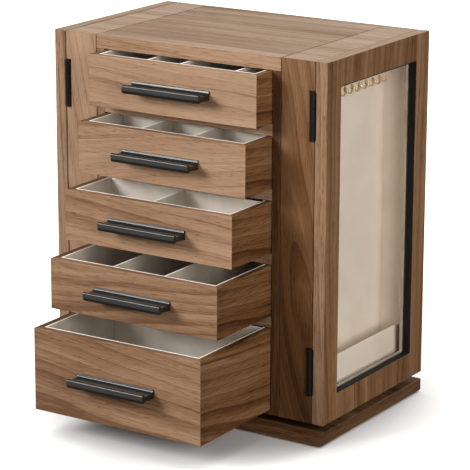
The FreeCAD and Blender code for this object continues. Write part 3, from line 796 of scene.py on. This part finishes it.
def bar_pull(node):
    """The pull's profile, drawn out along X. Distances are counted from the drawer's face."""
    low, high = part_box(node)
    middle_z = high.z - PULL_PROFILE[0][1] * MM
    shape = bmesh.new()
    corners = [(low.x, high.y - out * MM, middle_z + up * MM) for out, up in PULL_PROFILE]
    ring = [shape.verts.new(corner) for corner in corners]
    end = shape.faces.new(ring)
    drawn = bmesh.ops.extrude_face_region(shape, geom=[end], use_keep_orig=True)
    moved = [item for item in drawn["geom"] if isinstance(item, bmesh.types.BMVert)]
    bmesh.ops.translate(shape, verts=moved, vec=(high.x - low.x, 0, 0))
    bmesh.ops.recalc_face_normals(shape, faces=shape.faces)

    ring_places = [vertex.co.yz for vertex in ring]

    def round_off(corners, width, segments):
        places = [ring_places[corner] for corner in corners]
        edges = [
            edge
            for edge in shape.edges
            if abs(edge.verts[0].co.x - edge.verts[1].co.x) > 10 * MM
            and any((edge.verts[0].co.yz - place).length < WELD for place in places)
        ]
        bevel(shape, edges, width, segments)

    round_off(PULL_HOLLOW, HOLLOW_ROUND, 4)
    round_off(PULL_LIP, LIP_ROUND, 3)
    ends = [edge for edge in shape.edges if edge.calc_face_angle_signed(0.0) > math.radians(80)]
    ends = [edge for edge in ends if abs(edge.verts[0].co.x - edge.verts[1].co.x) < WELD]
    bevel(shape, ends, END_ROUND, 2)
    return shape


for drawer in DRAWERS:
    node = drawer + "_handle"
    pull = bar_pull(node)
    pull.normal_update()
    for face in pull.faces:
        # The lip's front face takes the paler black: a painted reflection.
        face.material_index = 1 if face.normal.y < -0.98 else 0
    seat(node + "_dressed", pull, [BLACK, LIP_REFLECTION_BLACK], drawer, [node])
print("pulls drawn:", len(DRAWERS))

# %% [markdown]
# ## The lined trays
# Each drawer holds a tray of cloth-covered board: a floor, four walls and the dividers. The
# upward faces along their tops are paler, a painted highlight, and the walls that face away
# from the key light are darker, a painted shade. One tray is a block whose top face is inset by
# the wall and pushed down to the floor, so that the rim is unbroken. The dividers are thin
# boards set between the walls.

# %% Trays and dividers
TRAY_WALL = 1.6 * MM
TRAY_FLOOR = 1.2 * MM
DIVIDER_DROP = 1.5 * MM
CLOTH_ROUND = 0.45 * MM


def block(low, high):
    """A closed block between two corners."""
    shape = bmesh.new()
    bmesh.ops.create_cube(shape, size=1.0)
    bmesh.ops.scale(shape, verts=shape.verts, vec=high - low)
    bmesh.ops.translate(shape, verts=shape.verts, vec=(low + high) / 2)
    return shape


def tray(low, high):
    """A block hollowed from above, with a rounded rim."""
    shape = block(low, high)
    top = max(shape.faces, key=lambda face: face.calc_center_median().z)
    bmesh.ops.inset_region(shape, faces=[top], thickness=TRAY_WALL, use_even_offset=True)
    pushed = bmesh.ops.extrude_face_region(shape, geom=[top])
    bottom = [item for item in pushed["geom"] if isinstance(item, bmesh.types.BMVert)]
    bmesh.ops.delete(shape, geom=[top], context="FACES_ONLY")
    drop = low.z + TRAY_FLOOR - high.z
    bmesh.ops.translate(shape, verts=bottom, vec=(0, 0, drop))
    bmesh.ops.recalc_face_normals(shape, faces=shape.faces)
    soften(shape, CLOTH_ROUND, 3)
    return shape


TRAY_CLOTHS = [IVORY, RIM_HIGHLIGHT_CLOTH, PAINTED_SHADE_IVORY]


def tray_finish(height, normal, rim_height):
    """Finish 1 for the upward faces of the rims, a painted highlight, 2 for walls turned from the
    light, a painted shade, 0 for the rest.
    """
    if height > rim_height and normal.z > 0.3:
        return 1
    return 2 if normal.x > 0.7 else 0


for drawer in DRAWERS:
    node = drawer + "_liner"
    boxes = []
    for solid in solids_of(node):
        corners = [vertex.co for vertex in solid.verts]
        low = Vector([min(corner[axis] for corner in corners) for axis in range(3)])
        high = Vector([max(corner[axis] for corner in corners) for axis in range(3)])
        boxes.append((low, high))
        solid.free()
    whole_low, whole_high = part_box(node)
    shapes = [tray(whole_low, whole_high)]
    for low, high in boxes:
        if low.z > whole_low.z + TRAY_FLOOR / 2:
            board = block(low, high)
            soften(board, CLOTH_ROUND, 3)
            shapes.append(board)
    lining = join_shapes(shapes)
    lining.normal_update()
    rim_height = whole_high.z - DIVIDER_DROP
    for face in lining.faces:
        height = face.calc_center_median().z
        face.material_index = tray_finish(height, face.normal, rim_height)
    seat(node + "_dressed", lining, TRAY_CLOTHS, drawer, [node])
print("trays lined:", len(DRAWERS))

# %% [markdown]
# ## The necklace cases
# Cloth covers the boards inside each case, a row of brass hooks stands near the top, and a padded
# front closes a pocket at the bottom. The pad is a block cut into small faces, whose front and
# back swell a little between the seams, as thin foam does under cloth.

# %% Linings and padded pockets
folded = {"width": 0.2 * MM, "shortest": SHORT_EDGE}
dress_boards("case_linings", "cabinet", "beige_fabric", [PALE_IVORY], **folded)

PAD_SWELL = 0.6 * MM
PAD_RIM = 1.5 * MM
PAD_STEP = 6 * MM


def padded_front(node):
    """A thin pad with swollen faces and a soft rim."""
    low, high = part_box(node)
    thin = Vector((PAD_SWELL, 0, 0))
    shape = block(low + thin, high - thin)
    for axis in (1, 2):
        direction = Vector([axis == number for number in range(3)])
        cuts = int((high[axis] - low[axis]) / PAD_STEP)
        for cut in range(1, cuts):
            point = low + direction * (high[axis] - low[axis]) * cut / cuts
            geometry = shape.verts[:] + shape.edges[:] + shape.faces[:]
            bmesh.ops.bisect_plane(
                shape, geom=geometry, plane_co=point, plane_no=direction, dist=WELD
            )
    soften(shape, PAD_RIM, 4)
    centre = (low + high) / 2
    half = (high - low) / 2
    for vertex in shape.verts:
        away = vertex.co - centre
        crown = (1 - (away.y / half.y) ** 4) * (1 - (away.z / half.z) ** 4)
        share = away.x / (half.x - PAD_SWELL)
        vertex.co.x += share * crown * PAD_SWELL
    return shape


for side in SIDES:
    node = side + "_pocket"
    pad = seat(node + "_pad", padded_front(node), [PALE_IVORY], "cabinet", [node])
print("necklace cases lined:", len(SIDES))

# %% [markdown]
# ## The doors
# Each door is a slab of upright-grained walnut round a window. A black seal lines the sunk edge
# of the window, the glass lies behind it, and a bead covered in the lining cloth holds the glass
# from inside. Stiles and rails meet without a groove.

# %% Door frames, seals and glass


def seal_or_bead(centre, normal):
    """Finish 0 for the seal in front of the glass, 1 for the cloth-covered bead behind it, which
    takes the darker copy of the lining as painted shade.
    """
    return 0 if abs(centre.x) > abs(middle("right_door_glass").x) else 1


DOOR_STILE = 24 * MM
REAR_STILE_Y = 0.07
# The door boards take the darker side palette: painted shade. The stile at the back is lighter,
# painted light where the lamps fall off, and the top takes the painted sheen.
SHADED_SIDE_LOOK = {"tones": SHADED_SIDE_TONES, "contrast": 1.35}
# The finishes of a door in the order that door_face counts them: name, grain, heart on the right
# door, rise, and what else sets each one apart.
DOOR_BOARDS = [
    ("door", "Z", (0.1, -0.16, 0.12), 0.05, {**SHADED_SIDE_LOOK, "light": 0.02}),
    ("door_edge", "Z", (0.05, -0.14, 0.12), 0.04, {"light": -0.14}),
    ("door_top", "Y", (0.1, 0.0, 0.31), 0.02, {"tones": TOP_SHEEN_TONES, "light": 0.05}),
    ("rear_stile", "Z", (0.1, 0.16, 0.12), 0.05, {**SHADED_SIDE_LOOK, "light": 0.16}),
]


def door_board(side, board, grain, heart, rise, looks):
    """Walnut for one board of a door. The left door's heart is mirrored."""
    mirrored = (SIDES[side] * heart[0], heart[1], heart[2])
    return walnut("walnut_%s_%s" % (side, board), grain, mirrored, rise, **looks)


def door_face(centre, normal):
    """Finish 1 for the front edge, 2 for the top, with a painted sheen, 3 for the stile at the
    back, lightened as painted light, 0 for the rest, in the painted shade of the side palette.
    """
    if normal.z > 0.9:
        return 2
    if centre.y > REAR_STILE_Y:
        return 3
    return 1 if normal.y < -0.9 else 0


for side in SIDES:
    body = side + "_door"
    node = side + "_door_frame"
    low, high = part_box(node)
    joints = [
        (Vector((0, low.y + DOOR_STILE, 0)), Vector((0, 1, 0))),
        (Vector((0, high.y - DOOR_STILE, 0)), Vector((0, 1, 0))),
    ]
    door_finishes = [door_board(side, *board) for board in DOOR_BOARDS]
    dress_boards(node, body, "walnut", door_finishes, door_face, joints=joints)
    seal_node = side + "_window_gasket"
    # The bead takes the darker copy of the lining: painted shade.
    seal_finishes = [RUBBER, PAINTED_SHADE_IVORY]
    dress_boards(seal_node, body, "black_rubber", seal_finishes, seal_or_bead, width=0.25 * MM)
    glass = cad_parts[side + "_door_glass"]
    glass.data.materials.clear()
    glass.data.materials.append(GLASS)
print("doors glazed:", len(SIDES))

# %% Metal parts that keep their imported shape
METALS = {
    "turntable_lower_plate": ZINC,
    "turntable_upper_plate": ZINC,
    "turntable_lower_screws": ZINC,
    "turntable_upper_screws": ZINC,
    "turntable_balls": NICKEL,
    "turntable_pivot": ZINC,
    "drawer_stop_pegs": NICKEL,
    "necklace_hooks": BRASS,
    "case_hinge_leaves": HINGE_BLACK,
    "hinge_pins": HINGE_BLACK,
    "case_magnets": NICKEL,
    "right_door_hinge_leaves": HINGE_BLACK,
    "left_door_hinge_leaves": HINGE_BLACK,
    "right_strike_plates": NICKEL,
    "left_strike_plates": NICKEL,
}
METALS.update({drawer + "_screws": ZINC for drawer in DRAWERS})
for node, finish in METALS.items():
    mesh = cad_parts[node].data
    mesh.materials.clear()
    mesh.materials.append(finish)
print("metal nodes given a finish:", len(METALS))

# %% [markdown]
# ## Stage, light and camera
# The box stands on a white sweep in soft light. The key light stands to the left in front and
# above. Three weaker ones fill in from overhead, from behind and from the right, a small share of
# light comes from everywhere, and the right-hand side stays in half shade. The floor glows a
# little, more so further out, which keeps it white. The glow fades where something hangs close
# above it, such as an open drawer, and it counts from the swivel's axis, so it suits every pose.

# %% Floor
floor_shape = bmesh.new()
bmesh.ops.create_grid(floor_shape, x_segments=1, y_segments=1, size=9.0)
floor_mesh = bpy.data.meshes.new("floor")
floor_shape.to_mesh(floor_mesh)
floor_shape.free()
floor = bpy.data.objects.new("floor", floor_mesh)
bpy.context.scene.collection.objects.link(floor)
floor_finish = Finish("white_floor", {"Base Color": (0.78, 0.78, 0.78, 1), "Roughness": 0.9})
floor_x, floor_y = floor_finish.place()[:2]
distance = (floor_x * floor_x + floor_y * floor_y).root()
near = distance.ease(0.13, 0.22)
far = distance.ease(0.2, 0.6)
outward_share = near * 0.4 + far * 0.5 + 0.1
reach = {"Distance": 0.12}
open_above = floor_finish.wire("AmbientOcclusion", {"samples": 16}, reach, "AO")
share = outward_share * open_above.ease(0.15, 0.75)
glow = floor_finish.mix(share, (0, 0, 0, 1), (1, 1, 1, 1))
floor_finish.feed({"Emission Color": glow, "Emission Strength": 1.0, "Specular IOR Level": 0.1})
floor_mesh.materials.append(floor_finish.material)
floor.visible_diffuse = False
floor.visible_glossy = False

# %% Lights
world = bpy.data.worlds.new("studio")
bpy.context.scene.world = world
world.use_nodes = True
world.node_tree.nodes["Background"].inputs["Color"].default_value = (1.0, 0.93, 0.85, 1)
world.node_tree.nodes["Background"].inputs["Strength"].default_value = 0.15


def soft_light(name, place, target, size, watts, colour=(1, 1, 1)):
    data = bpy.data.lights.new(name, "AREA")
    data.shape = "DISK"
    data.size = size
    data.energy = watts
    data.color = colour
    light = bpy.data.objects.new(name, data)
    bpy.context.scene.collection.objects.link(light)
    light.location = place
    aim = Vector(target) - Vector(place)
    light.rotation_mode = "QUATERNION"
    light.rotation_quaternion = aim.to_track_quat("-Z", "Y")


soft_light("key", (-1.0, -1.7, 1.05), (0, 0, 0.2), 0.9, 44)
soft_light("overhead", (-0.2, 0.2, 2.2), (0, 0, 0.2), 1.6, 19)
soft_light("back", (0.2, 2.6, 1.15), (0, 0, 0.2), 1.8, 28)
soft_light("side_fill", (2.1, -1.1, 0.85), (0, 0, 0.2), 1.4, 40, (1, 0.96, 0.92))
print("lights:", len(bpy.data.lights))

# %% Camera
# A long lens from the right, as far off and as high as the photograph's perspective asks. The
# angles are in radians.
camera_data = bpy.data.cameras.new("camera")
camera = bpy.data.objects.new("camera", camera_data)
bpy.context.scene.collection.objects.link(camera)
camera_data.sensor_width = 36.0
camera_data.lens = 181.2
camera.location = (1.1859, -1.8691, 0.7677)
camera.rotation_mode = "XYZ"
YAW = 0.569
PITCH = 0.268
ROLL = -0.003
camera.rotation_euler = (math.pi / 2 - PITCH, ROLL, YAW)
camera_data.clip_start = 0.05
camera_data.clip_end = 50.0
bpy.context.scene.camera = camera
bpy.context.scene.view_settings.view_transform = "Standard"
print("lens in mm:", camera_data.lens)
